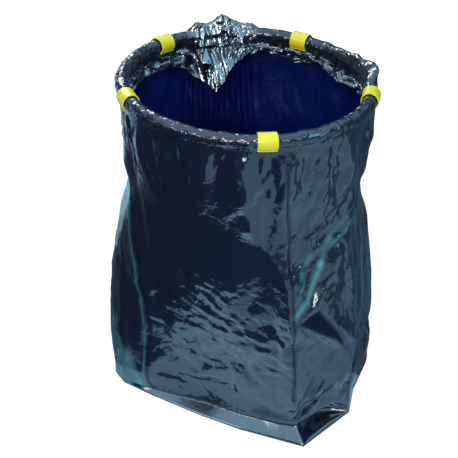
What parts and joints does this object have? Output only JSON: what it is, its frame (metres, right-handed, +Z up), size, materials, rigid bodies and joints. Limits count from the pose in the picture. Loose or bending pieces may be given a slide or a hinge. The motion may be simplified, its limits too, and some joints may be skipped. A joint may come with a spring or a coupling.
{
  "type": "bin bag holder",
  "caption": "Round pipe hoop that holds a film sack open, the sack's mouth folded over the pipe and pinched by push-on clips",
  "frame": {"origin": "on the ground, on the hoop's axis", "axes": "+Z up along the hoop's axis, -Y toward the side that the picture shows, +X to the right in it"},
  "size_m": [0.4642, 0.4785, 0.5959],
  "materials": {
    "pipe": "extruded polyethylene",
    "joiner": "moulded",
    "clip": "smooth moulded",
    "film": "glossy crinkled film"
  },
  "bodies": {
    "hoop": {"hoop_tube": "pipe", "hoop_joiner": "joiner", "bin_bag": "film"},
    "clip_front_body": {"clip_front": "clip"},
    "clip_right_body": {"clip_right": "clip"},
    "clip_back_body": {"clip_back": "clip"},
    "clip_back_left_body": {"clip_back_left": "clip"},
    "clip_left_body": {"clip_left": "clip"}
  },
  "joints": [
    {"name": "clip_front_slide", "type": "hinge", "parent": "hoop", "child": "clip_front_body", "pos_m": [0, 0, 0.56], "axis": [0, 0, 1], "range_deg": [-15, 15]},
    {"name": "clip_right_slide", "type": "hinge", "parent": "hoop", "child": "clip_right_body", "pos_m": [0, 0, 0.56], "axis": [0, 0, 1], "range_deg": [-15, 4]},
    {"name": "clip_back_slide", "type": "hinge", "parent": "hoop", "child": "clip_back_body", "pos_m": [0, 0, 0.56], "axis": [0, 0, 1], "range_deg": [-15, 15]},
    {"name": "clip_back_left_slide", "type": "hinge", "parent": "hoop", "child": "clip_back_left_body", "pos_m": [0, 0, 0.56], "axis": [0, 0, 1], "range_deg": [-8, 15]},
    {"name": "clip_left_slide", "type": "hinge", "parent": "hoop", "child": "clip_left_body", "pos_m": [0, 0, 0.56], "axis": [0, 0, 1], "range_deg": [-15, 15]}
  ]
}
